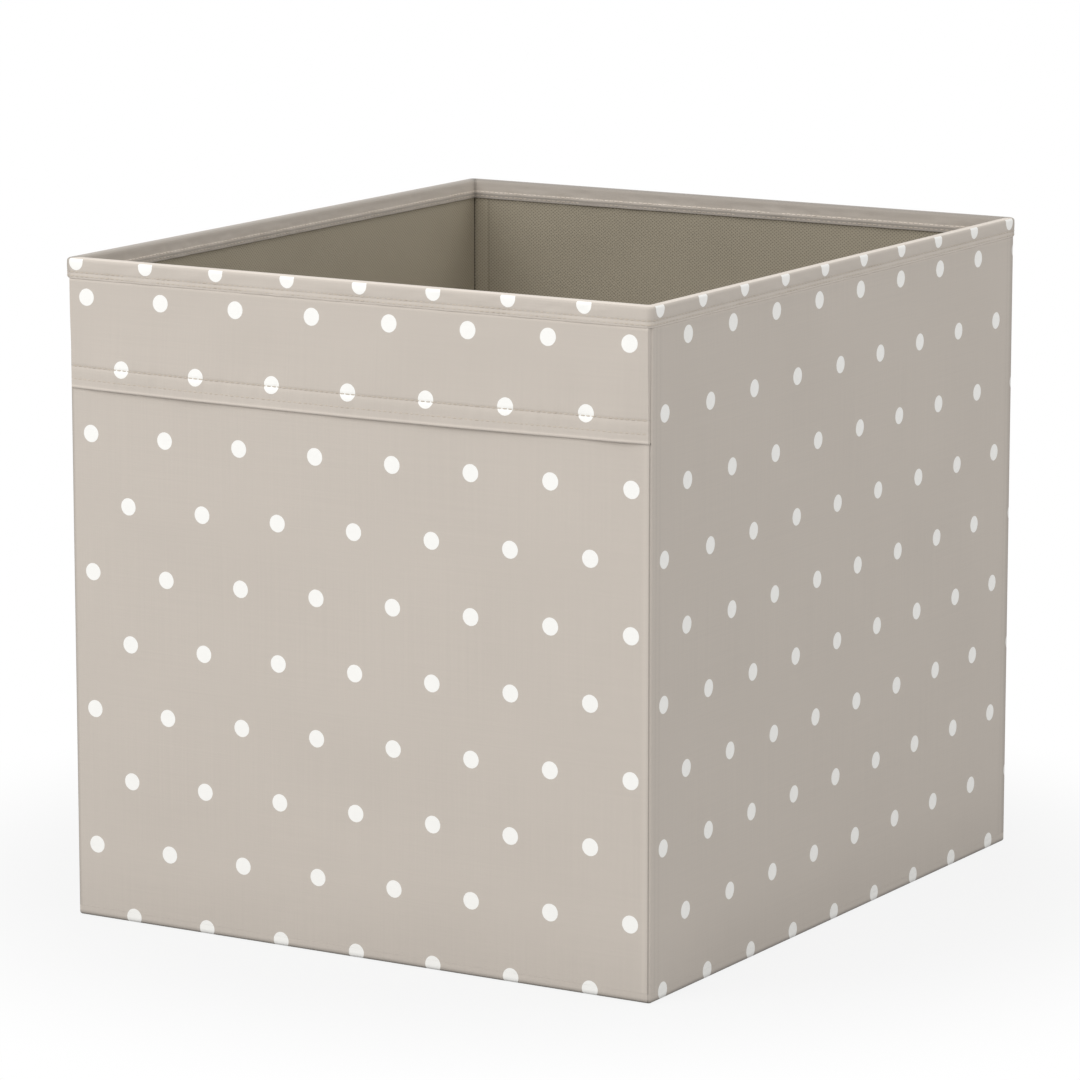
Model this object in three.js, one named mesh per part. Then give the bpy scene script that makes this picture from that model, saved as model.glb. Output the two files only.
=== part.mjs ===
// Foldable cloth storage box: boards between a printed cover and a lining, with a bound rim,
// a sewn pull flap and a base that lifts. Millimetres, +X right, the front towards -Y, +Z up.
// The front and rear walls crease inward at their middle, so each is made as two halves.
import * as THREE from "three";

// Overall size
const WIDTH = 330; // left to right over the rim binding
const DEPTH = 380; // from the flap's bowed edge to the rear rim binding
const HEIGHT = 330; // from the floor to the rim's top fold

// Layers of a wall, from the outside in
const CLOTH = 0.6; // cover cloth and lining
const BOARD = 2.4; // stiffening board
const LAYER_GAP = 0.2; // between two layers
const WALL = CLOTH + LAYER_GAP + BOARD + LAYER_GAP + CLOTH;
const BOARD_START = CLOTH + LAYER_GAP;
const LINING_START = BOARD_START + BOARD + LAYER_GAP;

// Rim binding, a tape folded over the top of a wall
const TAPE = 0.6;
const RIM_OUTSIDE = 10; // height of the outer leg
const RIM_INSIDE = 8; // height of the inner leg
const RIM_ROUND = 1.5; // outer radius of the top fold
const RIM_ARC_STEPS = 5;
const RIM_PROUD = LAYER_GAP + TAPE;
const LAYER_TOP = HEIGHT - TAPE - 0.8; // the layers end below the round of the fold

// Pull flap, sewn under the rim and at its two ends
const FLAP = 1.2; // cloth folded double
const FLAP_DROP = 65; // rim's top fold to the flap's lower edge
const FLAP_SAG = 1.4; // the lower edge hangs this much lower at the middle
const FLAP_BOW = 1.8; // and stands this much further out
const FLAP_TOP = HEIGHT - TAPE - 1.4;
const HEM_HEIGHT = 10.5; // from the lower edge to the hem's fold
const HEM_EXTRA = 0.6; // the turned-up cloth
const HEM_SLOPE = 0.8; // height over which the hem's fold runs out
const FLAP_COLUMNS = 14;
const FLAP_ROWS = 8;

// Lower edge of the walls, the bottom panel and the base
const WALL_BOTTOM = 5.0;
const BOTTOM_SHEET = 0.8;
const RING_TOP = 4.7; // the bottom panel's seam allowance, folded up on itself
const RING_WIDTH = 4.5;
const BASE_TOP = 4.6;
const BASE_BOARD = 2.0;
const BASE_LAYER_GAP = 0.15;
const BASE_THICK = BASE_BOARD + 2 * (CLOTH + BASE_LAYER_GAP);
const BASE_LEFT_CLEAR = 1.5; // from the left lining to the base's edge
const BASE_RIGHT_CLEAR = 1.0;
const BASE_END_CLEAR = 4.5; // from the front or rear lining
const HINGE_TAPE_HEIGHT = 22;
const HINGE_TAPE_END = 12; // the tape stops this far from the base's corners

// Ends of the pieces
const CORNER_ROUND = 1.6; // radius of the cover round an upright corner
const CORNER_STEPS = 4;
const MITRE_CLEAR = 0.2; // each side of a corner's mitre plane
const TIP_STEP = 0.05;
const CORNER_RIM_PROUD = 1.2; // the rim binding on the mitre plane of a front corner
const CREASE_CLEAR = 0.3; // each side of a crease
const BOARD_CORNER_CLEAR = 0.5; // board to the inner corner line
const BOARD_CREASE_CLEAR = 1.5;
const BOARD_ROUND = 4; // radius of a board's corners
const BOARD_ROUND_STEPS = 5;
const BOARD_EDGE_CLEAR = 0.2; // board to the cover's turned-under edge

// Outer faces of the cover
const SIDE_FACE = WIDTH / 2 - RIM_PROUD;
const REAR_FACE = DEPTH / 2 - RIM_PROUD;
const HEM_PROUD = LAYER_GAP + FLAP + HEM_EXTRA;
const FRONT_FACE = DEPTH / 2 - HEM_PROUD - FLAP_BOW;
const FRONT_RIM_PROUD = LAYER_GAP + FLAP + LAYER_GAP + TAPE;
const FLAP_END = SIDE_FACE - CORNER_ROUND; // the flap is sewn down where the corner's round starts

// Colours
const PRINT = 0xc6bbae;
const LINING_TONE = 0x7d7566;
const BINDING_TONE = 0xcfc5b8;
const BOARD_TONE = 0xa98a62;
const BASE_TONE = 0x857d6e;

const box = new THREE.Group();
box.name = "storage_box";

function addMesh(name, geometry, colour) {
  const material = new THREE.MeshStandardMaterial({ color: colour, roughness: 0.9 });
  const mesh = new THREE.Mesh(geometry, material);
  mesh.name = name;
  box.add(mesh);
  return mesh;
}

// An indexed geometry from points and triangles, turned so that its faces point out.
function solidFrom(points, triangles) {
  let volume = 0;
  for (const [a, b, c] of triangles) {
    const [ax, ay, az] = points[a];
    const [bx, by, bz] = points[b];
    const [cx, cy, cz] = points[c];
    volume += ax * (by * cz - bz * cy) + ay * (bz * cx - bx * cz) + az * (bx * cy - by * cx);
  }
  const order = volume < 0 ? triangles.map(([a, b, c]) => [a, c, b]) : triangles;
  const geometry = new THREE.BufferGeometry();
  geometry.setAttribute("position", new THREE.Float32BufferAttribute(points.flat(), 3));
  geometry.setIndex(order.flat());
  geometry.computeVertexNormals();
  return geometry;
}

// A wall maps (along, inset, height) to the box. Inset runs inward from the cover's outer face.
const WALLS = {
  left: (along, inset, z) => [-SIDE_FACE + inset, along, z],
  right: (along, inset, z) => [SIDE_FACE - inset, along, z],
  front: (along, inset, z) => [along, -FRONT_FACE + inset, z],
  rear: (along, inset, z) => [along, REAR_FACE - inset, z],
};

// A wall's end is a list of stations, from the straight part to the tip. Each moves a point of
// the profile, given as its inset, to a place along the wall and a new inset. A point well
// outside the centre of the corner's round turns with it as far as the mitre plane. A point
// near the centre or inside it runs straight on to that plane, in short steps.
function cornerStations(otherFace, proud = 0, tipProud = proud) {
  const centre = otherFace - CORNER_ROUND;
  const stations = [];
  for (let k = 0; k <= CORNER_STEPS; k++) {
    const share = k / CORNER_STEPS;
    stations.push((inset) => {
      const depth = inset + (inset < WALL / 2 ? (proud - tipProud) * share ** 2 : 0);
      const radius = CORNER_ROUND - depth;
      if (radius < 2 * MITRE_CLEAR) {
        const tip = centre + radius - MITRE_CLEAR * Math.SQRT2;
        return [tip - (CORNER_STEPS - k) * TIP_STEP, depth];
      }
      const angle = share * (Math.PI / 4 - Math.asin(MITRE_CLEAR / radius));
      return [centre + radius * Math.sin(angle), CORNER_ROUND - radius * Math.cos(angle)];
    });
  }
  return stations;
}

const creaseStations = [(inset) => [-CREASE_CLEAR, inset]];

// A profile of [inset, height] points, drawn along a wall through its stations. Those of the
// low end count their places towards -X or -Y, and those of the high end towards +X or +Y.
function strip(wall, profile, lowEnd, highEnd) {
  const place = WALLS[wall];
  const rings = [];
  for (const station of [...lowEnd].reverse()) {
    rings.push(profile.map(([inset, z]) => {
      const [along, depth] = station(inset);
      return place(-along, depth, z);
    }));
  }
  for (const station of highEnd) {
    rings.push(profile.map(([inset, z]) => {
      const [along, depth] = station(inset);
      return place(along, depth, z);
    }));
  }
  return loft(rings, profile);
}

// A solid through rings of points that all have the profile's shape, with flat ends.
function loft(rings, profile) {
  const contour = profile.map(([u, v]) => new THREE.Vector2(u, v));
  const caps = THREE.ShapeUtils.triangulateShape(contour, []);
  const clockwise = THREE.ShapeUtils.area(contour) < 0;
  const count = profile.length;
  const last = (rings.length - 1) * count;
  const triangles = [];
  for (const [a, b, c] of caps) {
    triangles.push([a, b, c]);
    triangles.push([a + last, c + last, b + last]);
  }
  for (let ring = 0; ring + 1 < rings.length; ring++) {
    for (let i = 0; i < count; i++) {
      const a = ring * count + i;
      const b = ring * count + ((i + 1) % count);
      const quad = clockwise
        ? [[a, b, b + count], [a, b + count, a + count]]
        : [[b, a, a + count], [b, a + count, b + count]];
      triangles.push(...quad);
    }
  }
  return solidFrom(rings.flat(), triangles);
}

// Profiles

function layerProfile(start, thickness, bottom) {
  return [
    [start, bottom],
    [start, LAYER_TOP],
    [start + thickness, LAYER_TOP],
    [start + thickness, bottom],
  ];
}

// The cover's lower edge is turned in under the board.
function coverProfile() {
  const lip = BOARD_START + BOARD;
  return [
    [0, WALL_BOTTOM],
    [0, LAYER_TOP],
    [CLOTH, LAYER_TOP],
    [CLOTH, WALL_BOTTOM + CLOTH],
    [lip, WALL_BOTTOM + CLOTH],
    [lip, WALL_BOTTOM],
  ];
}

function arc(centreInset, centreZ, radius, from, to) {
  const points = [];
  for (let i = 0; i <= RIM_ARC_STEPS; i++) {
    const angle = from + ((to - from) * i) / RIM_ARC_STEPS;
    points.push([centreInset + radius * Math.cos(angle), centreZ + radius * Math.sin(angle)]);
  }
  return points;
}

// A tape folded over the wall's top: an outer leg, a rounded fold and an inner leg.
function rimProfile(proud) {
  const outer = -proud;
  const inner = WALL + RIM_PROUD;
  const centreZ = HEIGHT - RIM_ROUND;
  const inside = RIM_ROUND - TAPE;
  const outerCentre = outer + RIM_ROUND;
  const innerCentre = inner - RIM_ROUND;
  return [
    [outer, HEIGHT - RIM_OUTSIDE],
    ...arc(outerCentre, centreZ, RIM_ROUND, Math.PI, Math.PI / 2),
    ...arc(innerCentre, centreZ, RIM_ROUND, Math.PI / 2, 0),
    [inner, HEIGHT - RIM_INSIDE],
    [inner - TAPE, HEIGHT - RIM_INSIDE],
    ...arc(innerCentre, centreZ, inside, 0, Math.PI / 2),
    ...arc(outerCentre, centreZ, inside, Math.PI / 2, Math.PI),
    [outer + TAPE, HEIGHT - RIM_OUTSIDE],
  ];
}

// A board with rounded corners, between two places along its wall.
function board(wall, from, to) {
  const low = WALL_BOTTOM + CLOTH + BOARD_EDGE_CLEAR;
  const corners = [
    [to - BOARD_ROUND, LAYER_TOP - BOARD_ROUND, 0],
    [from + BOARD_ROUND, LAYER_TOP - BOARD_ROUND, Math.PI / 2],
    [from + BOARD_ROUND, low + BOARD_ROUND, Math.PI],
    [to - BOARD_ROUND, low + BOARD_ROUND, 1.5 * Math.PI],
  ];
  const outline = [];
  for (const [centre, z, first] of corners) {
    for (let i = 0; i <= BOARD_ROUND_STEPS; i++) {
      const angle = first + (Math.PI / 2) * (i / BOARD_ROUND_STEPS);
      outline.push([centre + BOARD_ROUND * Math.cos(angle), z + BOARD_ROUND * Math.sin(angle)]);
    }
  }
  return plate(outline, (along, z, layer) => {
    return WALLS[wall](along, BOARD_START + layer * BOARD, z);
  });
}

// A flat plate from an outline: place maps (u, v, layer) to the box, with layer 0 or 1.
function plate(outline, place) {
  return loft([0, 1].map((layer) => outline.map(([u, v]) => place(u, v, layer))), outline);
}

// How far the flap stands out and hangs down at one place. share runs from 0 at the box's
// corner to 1 at the middle, and drop from 0 at the stitching to 1 at the lower edge.
function flapBow(share, drop) {
  return FLAP_BOW * Math.sin((share * Math.PI) / 2) * drop ** 1.5;
}

function flapSag(share, drop) {
  return FLAP_SAG * Math.sin((share * Math.PI) / 2) * drop;
}

// One half of the flap: side is -1 for the left half and 1 for the right half.
function flap(side) {
  const stitched = HEIGHT - RIM_OUTSIDE;
  const lowest = HEIGHT - FLAP_DROP;
  const heights = [FLAP_TOP];
  const hemTop = lowest + HEM_HEIGHT;
  for (let i = 0; i <= FLAP_ROWS; i++) {
    heights.push(stitched + ((hemTop + HEM_SLOPE - stitched) * i) / FLAP_ROWS);
  }
  heights.push(hemTop, (hemTop + lowest) / 2, lowest);
  const rows = heights.length;
  const points = [];
  const index = (face, row, column) => (face * rows + row) * (FLAP_COLUMNS + 1) + column;
  for (const face of [0, 1]) {
    for (const z of heights) {
      const drop = Math.max(0, (stitched - z) / (stitched - lowest));
      const thick = z <= hemTop ? FLAP + HEM_EXTRA : FLAP;
      for (let column = 0; column <= FLAP_COLUMNS; column++) {
        const share = column / FLAP_COLUMNS;
        const along = side * (FLAP_END - share * (FLAP_END - CREASE_CLEAR));
        const inset = -LAYER_GAP - face * thick - flapBow(share, drop);
        points.push(WALLS.front(along, inset, z - flapSag(share, drop)));
      }
    }
  }
  const triangles = [];
  const quad = (a, b, c, d) => triangles.push([a, b, c], [a, c, d]);
  for (let row = 0; row + 1 < rows; row++) {
    for (let column = 0; column < FLAP_COLUMNS; column++) {
      const next = column + 1;
      quad(index(0, row, column), index(0, row, next), index(0, row + 1, next), index(0, row + 1, column));
      quad(index(1, row, next), index(1, row, column), index(1, row + 1, column), index(1, row + 1, next));
    }
    quad(index(1, row, 0), index(0, row, 0), index(0, row + 1, 0), index(1, row + 1, 0));
    const last = FLAP_COLUMNS;
    quad(index(0, row, last), index(1, row, last), index(1, row + 1, last), index(0, row + 1, last));
  }
  for (let column = 0; column < FLAP_COLUMNS; column++) {
    const next = column + 1;
    const low = rows - 1;
    quad(index(0, 0, next), index(0, 0, column), index(1, 0, column), index(1, 0, next));
    quad(index(0, low, column), index(0, low, next), index(1, low, next), index(1, low, column));
  }
  return solidFrom(points, triangles);
}

// A closed plate with square corners between two points.
function block(low, high) {
  const size = high.map((value, axis) => value - low[axis]);
  const geometry = new THREE.BoxGeometry(...size);
  geometry.translate(...high.map((value, axis) => (value + low[axis]) / 2));
  return geometry;
}

// Side walls, each one board wide
for (const side of ["left", "right"]) {
  const layerFront = cornerStations(FRONT_FACE);
  const layerRear = cornerStations(REAR_FACE);
  addMesh(`${side}_cover`, strip(side, coverProfile(), layerFront, layerRear), PRINT);
  const lining = layerProfile(LINING_START, CLOTH, WALL_BOTTOM);
  addMesh(`${side}_lining`, strip(side, lining, layerFront, layerRear), LINING_TONE);
  const rimFront = cornerStations(FRONT_FACE, RIM_PROUD, CORNER_RIM_PROUD);
  const rimRear = cornerStations(REAR_FACE, RIM_PROUD);
  addMesh(`${side}_rim_binding`, strip(side, rimProfile(RIM_PROUD), rimFront, rimRear), BINDING_TONE);
  const boardFront = -(FRONT_FACE - WALL - BOARD_CORNER_CLEAR);
  const boardRear = REAR_FACE - WALL - BOARD_CORNER_CLEAR;
  addMesh(`${side}_board`, board(side, boardFront, boardRear), BOARD_TONE);
}

// Front and rear walls, each in two halves that meet at the crease
for (const wall of ["front", "rear"]) {
  const isFront = wall === "front";
  const proud = isFront ? FRONT_RIM_PROUD : RIM_PROUD;
  const layerCorner = cornerStations(SIDE_FACE);
  const rimCorner = cornerStations(SIDE_FACE, proud, isFront ? CORNER_RIM_PROUD : RIM_PROUD);
  const half = (name, profile, corner) => {
    return name === "left"
      ? strip(wall, profile, corner, creaseStations)
      : strip(wall, profile, creaseStations, corner);
  };
  for (const side of ["left", "right"]) {
    const name = `${wall}_${side}`;
    const lining = layerProfile(LINING_START, CLOTH, WALL_BOTTOM);
    addMesh(`${name}_cover`, half(side, coverProfile(), layerCorner), PRINT);
    addMesh(`${name}_lining`, half(side, lining, layerCorner), LINING_TONE);
    addMesh(`${name}_rim_binding`, half(side, rimProfile(proud), rimCorner), BINDING_TONE);
    const sign = side === "left" ? -1 : 1;
    const ends = [BOARD_CREASE_CLEAR, SIDE_FACE - WALL - BOARD_CORNER_CLEAR].map((x) => sign * x);
    addMesh(`${name}_board`, board(wall, Math.min(...ends), Math.max(...ends)), BOARD_TONE);
    if (isFront) addMesh(`pull_flap_${side}`, flap(sign), PRINT);
  }
}

// Base: a board in a sleeve that is open at the front and the rear
const baseLeft = -(SIDE_FACE - WALL) + BASE_LEFT_CLEAR;
const baseRight = SIDE_FACE - WALL - BASE_RIGHT_CLEAR;
const baseFront = -(FRONT_FACE - WALL) + BASE_END_CLEAR;
const baseRear = REAR_FACE - WALL - BASE_END_CLEAR;
const baseBottom = BASE_TOP - BASE_THICK;
const sleeveInset = CLOTH + BASE_LAYER_GAP;

function rectangle(left, right, low, high) {
  return [[left, low], [right, low], [right, high], [left, high]];
}

function sleeve() {
  const shape = new THREE.Shape(
    rectangle(baseLeft, baseRight, baseBottom, BASE_TOP).map(([x, z]) => new THREE.Vector2(x, z)),
  );
  const hollow = rectangle(baseLeft + CLOTH, baseRight - CLOTH, baseBottom + CLOTH, BASE_TOP - CLOTH);
  shape.holes.push(new THREE.Path(hollow.map(([x, z]) => new THREE.Vector2(x, z))));
  const length = baseRear - baseFront;
  const geometry = new THREE.ExtrudeGeometry(shape, { depth: length, bevelEnabled: false });
  geometry.rotateX(Math.PI / 2);
  geometry.translate(0, baseRear, 0);
  return geometry;
}

const BOARD_SET_BACK = 1.5; // the board's ends lie inside the sleeve's mouths
addMesh("base_sleeve", sleeve(), BASE_TONE);
addMesh(
  "base_board",
  block(
    [baseLeft + sleeveInset, baseFront + BOARD_SET_BACK, baseBottom + sleeveInset],
    [baseRight - sleeveInset, baseRear - BOARD_SET_BACK, BASE_TOP - sleeveInset],
  ),
  BOARD_TONE,
);

// The tape that the base turns on is sewn to the left lining.
const tapeFace = -(SIDE_FACE - WALL) + LAYER_GAP;
addMesh(
  "base_hinge_tape",
  block(
    [tapeFace, baseFront + HINGE_TAPE_END, WALL_BOTTOM],
    [tapeFace + CLOTH, baseRear - HINGE_TAPE_END, WALL_BOTTOM + HINGE_TAPE_HEIGHT],
  ),
  LINING_TONE,
);

// Bottom panel: a sheet whose edge is folded up on itself all round
function roundedOutline(inset, radius) {
  const left = -SIDE_FACE + inset + radius;
  const right = SIDE_FACE - inset - radius;
  const front = -FRONT_FACE + inset + radius;
  const rear = REAR_FACE - inset - radius;
  const corners = [[right, rear], [left, rear], [left, front], [right, front]];
  const outline = [];
  corners.forEach(([x, y], quarter) => {
    for (let i = 0; i <= CORNER_STEPS; i++) {
      const angle = (Math.PI / 2) * (quarter + i / CORNER_STEPS);
      outline.push([x + radius * Math.cos(angle), y + radius * Math.sin(angle)]);
    }
  });
  return outline;
}

function bottomPanel() {
  const outer = roundedOutline(0, CORNER_ROUND);
  const inner = roundedOutline(RING_WIDTH, CORNER_ROUND);
  const count = outer.length;
  const points = [];
  const ringAt = (outline, z) => outline.forEach(([x, y]) => points.push([x, y, z]));
  ringAt(outer, 0);
  ringAt(outer, RING_TOP);
  ringAt(inner, RING_TOP);
  ringAt(inner, BOTTOM_SHEET);
  const triangles = [];
  const contour = outer.map(([x, y]) => new THREE.Vector2(x, y));
  for (const [a, b, c] of THREE.ShapeUtils.triangulateShape(contour, [])) {
    triangles.push([c, b, a]);
    triangles.push([a, b, c].map((i) => i + 3 * count));
  }
  for (let ring = 0; ring < 3; ring++) {
    for (let i = 0; i < count; i++) {
      const a = ring * count + i;
      const b = ring * count + ((i + 1) % count);
      triangles.push([a, b, b + count], [a, b + count, a + count]);
    }
  }
  return solidFrom(points, triangles);
}

addMesh("bottom_panel", bottomPanel(), PRINT);

export default box;
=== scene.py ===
# The looks of the foldable storage box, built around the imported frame. Sizes here are in
# millimetres, in the frame's axes, and turn into metres where a mesh is made.
import math

import bpy
import numpy as np
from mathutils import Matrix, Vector


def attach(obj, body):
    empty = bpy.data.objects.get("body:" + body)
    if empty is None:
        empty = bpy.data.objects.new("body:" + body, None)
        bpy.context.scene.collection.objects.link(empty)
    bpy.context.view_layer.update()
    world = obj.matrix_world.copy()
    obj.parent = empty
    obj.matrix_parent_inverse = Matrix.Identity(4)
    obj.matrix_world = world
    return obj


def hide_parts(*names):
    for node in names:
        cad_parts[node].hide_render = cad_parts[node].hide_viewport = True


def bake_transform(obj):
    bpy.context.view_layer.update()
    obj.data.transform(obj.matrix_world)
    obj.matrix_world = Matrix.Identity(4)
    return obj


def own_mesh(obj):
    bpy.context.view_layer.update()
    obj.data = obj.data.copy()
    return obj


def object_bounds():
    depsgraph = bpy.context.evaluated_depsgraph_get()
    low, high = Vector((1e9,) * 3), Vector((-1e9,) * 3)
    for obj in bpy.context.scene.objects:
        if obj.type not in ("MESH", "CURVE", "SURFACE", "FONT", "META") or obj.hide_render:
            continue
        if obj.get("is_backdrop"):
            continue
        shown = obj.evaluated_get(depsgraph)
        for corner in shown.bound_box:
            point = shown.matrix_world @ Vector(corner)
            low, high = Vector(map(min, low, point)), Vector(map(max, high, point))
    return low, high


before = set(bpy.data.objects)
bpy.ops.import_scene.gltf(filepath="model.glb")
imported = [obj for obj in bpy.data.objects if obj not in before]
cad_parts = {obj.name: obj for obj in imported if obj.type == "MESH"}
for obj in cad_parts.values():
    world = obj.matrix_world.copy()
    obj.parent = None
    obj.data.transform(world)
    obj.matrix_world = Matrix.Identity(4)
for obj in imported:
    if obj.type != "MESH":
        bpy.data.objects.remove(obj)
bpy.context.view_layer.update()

MM = 0.001  # in metres

# The same places as in the part's source
SIDE = 164.2  # outer face of a side wall's cover
FRONT = 186.2  # outer face of the front wall's cover
REAR = 189.2  # outer face of the rear wall's cover
HEIGHT = 330.0
CLOTH = 0.6
LINING_START = 3.4
WALL = 4.0
TAPE = 0.6
RIM_ROUND = 1.5
SIDE_RIM_PROUD = 0.8
FRONT_RIM_PROUD = 2.2
LAYER_TOP = 328.6
FLAP_END = 162.6
COVER_BOTTOM = 4.73
RING_TOP = 4.7
RING_WIDTH = 4.5
BOTTOM_SHEET = 0.8
BASE = ((-158.7, -177.7, 1.1), (159.2, 180.7, 4.6))
TAPE_ENDS = (-165.7, 168.7)

# Drawn otherwise than in the solids, within their box
RIM_BOTTOM = 320.0  # of both legs: the inner one is 2 mm longer than its solid
FLAP_SAG = 1.2  # how far the flap's edge hangs down at its middle, less FLAP_RISE
FLAP_RISE = 1.1
FLAP_BOW = 0.3  # the flap hangs a little closer than its solid
FLAP_HANG = 55.0  # from the rim's lower edge to the flap's

# How the cloth is split: a corner piece reaches this far from the box's outer corner
EDGE = 14.0
CORNER_ROUND = 2.0
RIM_CORNER_ROUND = 3.6

# How far apart points lie along the walls' cloth and along the rim's
CLOTH_STEP = 6.5
RIM_STEP = 1.7

# The print: rows of dots in two staggered sets, given as phases of this lattice
DOT_ACROSS = 43.3
DOT_DOWN = 68.85
DOT_RADIUS = 4.3
FLAP_PRINT_TOP = 311.5  # the height of the flap's upper row of dots
FLAP_PITCH = (43.63, 69.4)

# Stitches. A rim row: height, whether outside, and how deep it lies in the tape. The last
# one is sewn with the light thread. A hem row: height, and how far out of the front it lies.
STITCH = 3.0  # from one to the next
STITCH_LENGTH = 2.5
RIM_ROWS = ((323.3, True, 0.12), (321.3, True, 0.12), (321.3, False, 0.16), (323.6, False, 0.10))
HEM_ROWS = ((276.0, 1.34), (269.5, 1.52))
UNDER_RIM = 319.5  # the cloth just under the binding's edge
rng = np.random.default_rng(11)

# Painted shade on the walls' linings and on their bindings' inner legs, for how each wall is lit:
# below 0 is painted light
LINING_PAINTED_SHADE = {"left": -0.16, "rear": 0.15, "right": 0.0, "front": 0.0}
BAND_PAINTED_SHADE = {"left": -0.15, "rear": 0.24, "right": 0.0, "front": 0.0}
CREST_HIGHLIGHT_WALLS = ("front", "right")  # walls whose rim's crest gets a painted highlight; the others' crest gets painted shade


def smooth(x):
    x = np.clip(np.asarray(x, float), 0.0, 1.0)
    return x * x * (3 - 2 * x)


def bump(x, centre, width):
    return np.exp(-(((x - centre) / width) ** 2))


def bumps(x, *rows):
    """A sum of bumps. A row is one bump's size, centre and width."""
    return sum(size * bump(x, centre, width) for size, centre, width in rows)


def between(a, b, share):
    return (1 - share) * a + share * b


def spread(*parts):
    """Parts that broadcast together, as one array with a last axis."""
    return np.stack(np.broadcast_arrays(*parts), -1)


def travelled(path):
    """The way gone along a line at each of its points."""
    return np.concatenate([[0], np.cumsum(np.linalg.norm(np.diff(path, axis=0), axis=1))])


class Waves:
    """A soft, fixed, random height field over (along, up), from -1 to 1 or so."""

    def __init__(self, seed, long_side, short_side, count=14):
        r = np.random.default_rng(seed)
        length = r.uniform(short_side, long_side, count)
        turn = r.uniform(0, math.pi, count)
        self.k = np.stack([np.cos(turn), np.sin(turn)]) * (2 * math.pi / length)
        self.phase = r.uniform(0, 2 * math.pi, count)
        self.size = 1.6 / math.sqrt(count)

    def __call__(self, u, v):
        waves = (np.sin(kx * u + ky * v + p) for kx, ky, p in zip(*self.k, self.phase))
        return sum(waves) * self.size


def waves_per_wall(seed, *sizes):
    return {w: Waves(i + seed, *sizes) for i, w in enumerate(("left", "right", "front", "rear"))}


wall_waves = waves_per_wall(20, 150, 60)
lining_waves = waves_per_wall(40, 120, 45)
rim_waves = waves_per_wall(60, 40, 9, 18)
rim_ripples = waves_per_wall(70, 9, 5, 18)
flap_waves = Waves(81, 120, 40)
hem_waves = Waves(82, 15, 5, 24)
base_waves = Waves(91, 130, 50)


# ---- Where the print lies on each wall ----


class Print:
    """Phases of the dot lattice along each wall. It runs on round three upright corners and
    meets itself again at the fourth. front and right: where a dot lies and the pitch.
    rows: each wall's height of a main row, and the distance between main rows. faces: how far
    out the sides, the front and the rear are."""

    def __init__(self, front, right, left_pitch, corner_round, faces, rows=None):
        fx, sy, ry = (face - corner_round for face in faces)
        arc = math.pi / 2 * corner_round / DOT_ACROSS
        self.rows = rows
        self.front = lambda x: (x - front[0]) / front[1]
        self.right = lambda y: 8 + (y - right[0]) / right[1]
        left_start = self.front(-fx) - arc
        self.left = lambda y: left_start - (y + sy) / left_pitch
        start = self.right(ry) + arc
        end = self.left(ry) - arc
        turns = 2 * fx / DOT_ACROSS
        turns += ((end - start - turns + 0.5) % 1.0) - 0.5
        self.rear = lambda x: start + (fx - x) * turns / (2 * fx)

    def across(self, wall, at):
        return getattr(self, wall)(at)

    def down(self, wall, z):
        z0, pitch = self.rows[wall]
        return (z - z0) / pitch


cover_print = Print(
    (-152.0, 43.62), (-152.8, 42.93), 44.3, CORNER_ROUND, (SIDE, FRONT, REAR),
    {"front": (37.1, 68.9), "right": (38.3, 68.7), "left": (37.4, 68.8), "rear": (38.1, 68.75)},
)
rim_print = Print(
    (-158.0, 41.0), (-180.4, 40.2), 42.0, RIM_CORNER_ROUND,
    (SIDE + SIDE_RIM_PROUD, FRONT + FRONT_RIM_PROUD, REAR + SIDE_RIM_PROUD))


# ---- Meshes ----


def make_object(name, points, faces, material, layers=None, smooth_below=38):
    """points in millimetres. layers is {attribute name: one value or vector a point}."""
    mesh = bpy.data.meshes.new(name)
    mesh.from_pydata((np.asarray(points, float) * MM).tolist(), [], faces)
    mesh.update()
    mesh.calc_loop_triangles()
    co = np.array([v.co for v in mesh.vertices], float)
    tri = np.array([t.vertices for t in mesh.loop_triangles])
    volume = (co[tri[:, 0]] * np.cross(co[tri[:, 1]], co[tri[:, 2]])).sum()
    if volume < 0:
        mesh.flip_normals()
    for key, values in (layers or {}).items():
        values = np.asarray(values, np.float32)
        if values.ndim == 1:
            mesh.attributes.new(key, "FLOAT", "POINT").data.foreach_set("value", values)
        else:
            full = np.zeros((len(values), 3), np.float32)
            full[:, : values.shape[1]] = values
            layer = mesh.attributes.new(key, "FLOAT_VECTOR", "POINT")
            layer.data.foreach_set("vector", full.ravel())
    mesh.polygons.foreach_set("use_smooth", [True] * len(mesh.polygons))
    mesh.set_sharp_from_angle(angle=math.radians(smooth_below))
    mesh.materials.append(material)
    obj = bpy.data.objects.new(name, mesh)
    bpy.context.scene.collection.objects.link(obj)
    return obj


def tube_faces(stations, count, ring=False):
    """Quads between closed profiles, with end caps, or on round to the first profile."""
    faces = []
    for s in range(stations if ring else stations - 1):
        step = count if s < stations - 1 else -s * count
        for i in range(count):
            a = s * count + i
            b = s * count + (i + 1) % count
            faces.append((a, b, b + step, a + step))
    if not ring:
        faces.append(tuple(reversed(range(count))))
        faces.append(tuple(range((stations - 1) * count, stations * count)))
    return faces


def cloth_piece(name, slot, points, material, phase, ring=False, **levels):
    """points is (stations, profile points, 3): a closed profile drawn along its stations.
    The print's phase and the levels, shade and wear, spread over them: painted shade, and a painted
    highlight or plain cloth."""
    shape = points.shape[:2]
    layers = {"print": np.broadcast_to(phase, shape + (2,)).reshape(-1, 2)}
    for key, level in levels.items():
        layers[key] = np.broadcast_to(level, shape).ravel()
    obj = make_object(name, points.reshape(-1, 3), tube_faces(*shape, ring), material, layers)
    return obj


def declare(obj):
    """Works out the triangles of a sheet's mesh."""
    mesh = obj.data
    mesh.calc_loop_triangles()


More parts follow.
